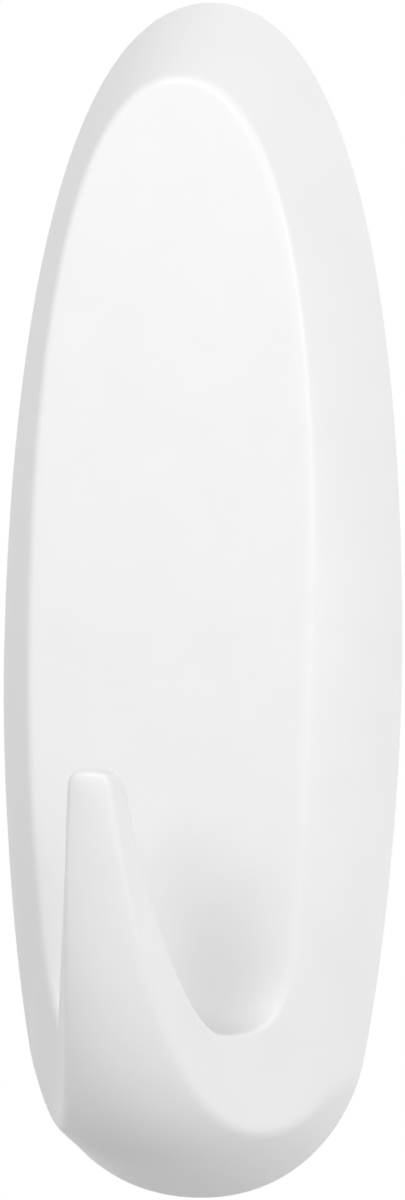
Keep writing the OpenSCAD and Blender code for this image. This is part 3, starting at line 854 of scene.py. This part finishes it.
# %% Repeat the pair at both heights
repeat_tree = bpy.data.node_groups.new("repeat_up_a_line", "GeometryNodeTree")
for label, kind in [("Geometry", "NodeSocketGeometry"), ("Count", "NodeSocketInt"),
                    ("Start", "NodeSocketVector"), ("Step", "NodeSocketVector"),
                    ("Material", "NodeSocketMaterial")]:
    repeat_tree.interface.new_socket(label, in_out="INPUT", socket_type=kind)
repeat_tree.interface.new_socket("Geometry", in_out="OUTPUT", socket_type="NodeSocketGeometry")
given = add(repeat_tree, "NodeGroupInput")
places = add(repeat_tree, "GeometryNodeMeshLine", {
    "Count": given.outputs["Count"], "Start Location": given.outputs["Start"],
    "Offset": given.outputs["Step"],
})
copies = add(repeat_tree, "GeometryNodeInstanceOnPoints",
             {"Points": places.outputs[0], "Instance": given.outputs["Geometry"]})
whole = add(repeat_tree, "GeometryNodeRealizeInstances", {"Geometry": copies.outputs[0]})
coated = add(repeat_tree, "GeometryNodeSetMaterial",
             {"Geometry": whole.outputs[0], "Material": given.outputs["Material"]})
add(repeat_tree, "NodeGroupOutput", {"Geometry": coated.outputs[0]})
claws = with_nodes("claws", claw_pair, repeat_tree, {
    "Count": 2, "Start": (0, 0, EAR_LOWER * MM), "Step": (0, 0, (EAR_UPPER - EAR_LOWER) * MM),
    "Material": cover_abs,
})
print("claws:", len(claws.polygons), "faces")

# %% Cut the hollow
# Height of the base's upper end; width, thickness and rear depth of the stop web that rests on it
BASE_TOP, STOP_W, STOP_T, STOP_BACK = 30, 11, 1.8, 1.39
stop_web = hull("stop_web", placed(box((-STOP_W / 2, STOP_W / 2), (STOP_BACK, ceiling + shell_t),
                                       (BASE_TOP, BASE_TOP + STOP_T))))
hollow = combined(hollow, core, "UNION")
hollow = combined(hollow, claws, "DIFFERENCE")
hollow = combined(hollow, stop_web, "DIFFERENCE")
cover_mesh = combined(cover_mesh, hollow, "DIFFERENCE")
bm = bmesh.new()
bm.from_mesh(cover_mesh)
bmesh.ops.dissolve_degenerate(bm, dist=SLIVER, edges=bm.edges)
cover = piece("cover_moulding", bm, cover_mesh, cover_abs, sharp_degrees=35)
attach(cover, "cover")
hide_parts("hook_cover")

# %% [markdown]
# ## The foam core of the strip
# The strip's core is a sheet of closed-cell foam between two films. A die cuts it to shape, so its edge is
# an open cut through the cells: full of small pits, and drawn in a little between the films, because foam
# gives way to the blade. The edge is a loft along the strip's outline like the cover's skin, and its points
# are then pushed inwards by a cell pattern. The two flat sides, which the films cover, are filled in as
# single faces.

# %% Outline of the strip
# Half widths of the strip and its tab; heights of the upper end, of the step to the tab and of the lower end
STRIP_HALF, TAB_HALF, STRIP_TOP, STRIP_STEP, STRIP_LOW = 7.9, 6.5, 30, -26, -40
STRIP_CORNER, TAB_CORNER = 1.5, 5
# Depths of the foam's two sides, how far its cut edge is drawn in, and over which shares of its thickness
FOAM_BACK, FOAM_FRONT, DRAWN_IN, DRAWN_FROM, DRAWN_TO = 0.12, 0.92, 0.06, 0.3, 0.7
# Size, depth and steepness of the cells, points along one cell and faces across the cut edge
CELL, CELL_DEPTH, CELL_STEEP, CELL_POINTS, EDGE_STEPS = 0.45, 0.1, 2.5, 3, 8
# Points this close to a flat side belong to it
SIDE_MARGIN = 0.01


def corner(x, z, r, start):
    """A quarter turn of a rounded corner, from a start angle in degrees, clockwise."""
    turn = np.radians(start - np.linspace(0, 90, max(9, round(r * 8))))
    return np.stack([x + r * np.cos(turn), z + r * np.sin(turn)], 1)


half_outline = np.concatenate([
    [[0, STRIP_TOP]], corner(STRIP_HALF - STRIP_CORNER, STRIP_TOP - STRIP_CORNER, STRIP_CORNER, 90),
    corner(STRIP_HALF - STRIP_CORNER, STRIP_STEP + STRIP_CORNER, STRIP_CORNER, 0)[:-1],
    [[TAB_HALF, STRIP_STEP]], corner(TAB_HALF - TAB_CORNER, STRIP_LOW + TAB_CORNER, TAB_CORNER, 0),
    [[0, STRIP_LOW]],
])
way = np.concatenate([[0], np.cumsum(np.linalg.norm(np.diff(half_outline, axis=0), axis=1))])
even = np.linspace(0, way[-1], round(way[-1] / (CELL / CELL_POINTS)) + 1)
even = np.unique(np.concatenate([way, even]).round(4))
half_outline = np.stack([np.interp(even, way, half_outline[:, i]) for i in (0, 1)], 1)
print("strip outline:", len(half_outline), "points on each side")

# %% Loft, sew and pit the foam
edge = np.stack([half_outline[:, 0], np.zeros(len(half_outline)), half_outline[:, 1]], 1)
inward = tangent(edge)[:, [2, 1, 0]] * np.array([1, 0, -1])
patches = []
for side in (1, -1):
    rows = [edge + inward * pull + np.array([0, FOAM_BACK + (FOAM_FRONT - FOAM_BACK) * t, 0])
            for t, pull in [(0, 0), (DRAWN_FROM, DRAWN_IN), (DRAWN_TO, DRAWN_IN), (1, 0)]]
    patches.append(loft("foam_edge", [placed(row, side) for row in rows], EDGE_STEPS, foam_pe))
bm = sewn(patches)
bmesh.ops.holes_fill(bm, edges=[e for e in bm.edges if e.is_boundary], sides=0)
bmesh.ops.recalc_face_normals(bm, faces=bm.faces)
bm.normal_update()
pits = []
for v in bm.verts:
    if FOAM_BACK + SIDE_MARGIN < -v.co.y / MM < FOAM_FRONT - SIDE_MARGIN:
        near = noise.voronoi(v.co / (CELL * MM))[0]
        pits.append((v, min(1.0, (near[1] - near[0]) * CELL_STEEP)))
for v, pit in pits:
    v.co -= Vector((v.normal.x, 0, v.normal.z)).normalized() * pit * CELL_DEPTH * MM
foam = piece("strip_foam", bm, bpy.data.meshes.new("foam_core"), foam_pe, sharp_degrees=50)
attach(foam, "base")
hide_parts("strip_foam_core")

# %% [markdown]
# ## The base plate
# The base plate is a plain moulding: its CAD shape is right, but its edges are sharp. A copy of the CAD
# mesh is cleaned, so that only real edges are left, and every edge is then rounded by the small radius that
# a mould has. The rounding takes material away, so the plate still fits its place exactly.

# %% Round the base plate's edges
# Radius in millimetres, and two angles in degrees: faces that turn less than the first are joined, and edges
# that turn more than the second are rounded
BASE_R, FLAT_ANGLE, EDGE_ANGLE = 0.25, 1, 40
bm = bmesh.new()
bm.from_mesh(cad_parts["mounting_base"].data)
bmesh.ops.remove_doubles(bm, verts=bm.verts, dist=WELD)
bmesh.ops.dissolve_limit(bm, angle_limit=math.radians(FLAT_ANGLE), verts=bm.verts, edges=bm.edges)
sharp = [e for e in bm.edges if e.calc_face_angle(0) > math.radians(EDGE_ANGLE)]
bmesh.ops.bevel(bm, geom=sharp, offset=BASE_R * MM, segments=3, profile=0.5, affect="EDGES",
                clamp_overlap=True)
print("rounded edges of the base:", len(sharp))
base = piece("base_plate", bm, bpy.data.meshes.new("base_plate"), base_abs, sharp_degrees=EDGE_ANGLE)
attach(base, "base")
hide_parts("mounting_base")

# %% [markdown]
# ## Surfaces for the pieces that keep their CAD shape
# The films, the adhesive layers and the tab's papers are thin flat sheets whose CAD shape is already the
# real one. They only need their materials.

# %% Materials on the CAD nodes
NODE_MATERIALS = {
    "strip_wall_film": film_pe, "strip_base_film": film_pe,
    "strip_wall_adhesive": adhesive_gum, "strip_base_adhesive": adhesive_gum,
    "tab_wall_cover": tab_paper, "tab_base_cover": tab_paper,
}
for name, material in NODE_MATERIALS.items():
    node_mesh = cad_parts[name].data
    node_mesh.materials.clear()
    node_mesh.materials.append(material)
print("materials on", len(NODE_MATERIALS), "CAD nodes")
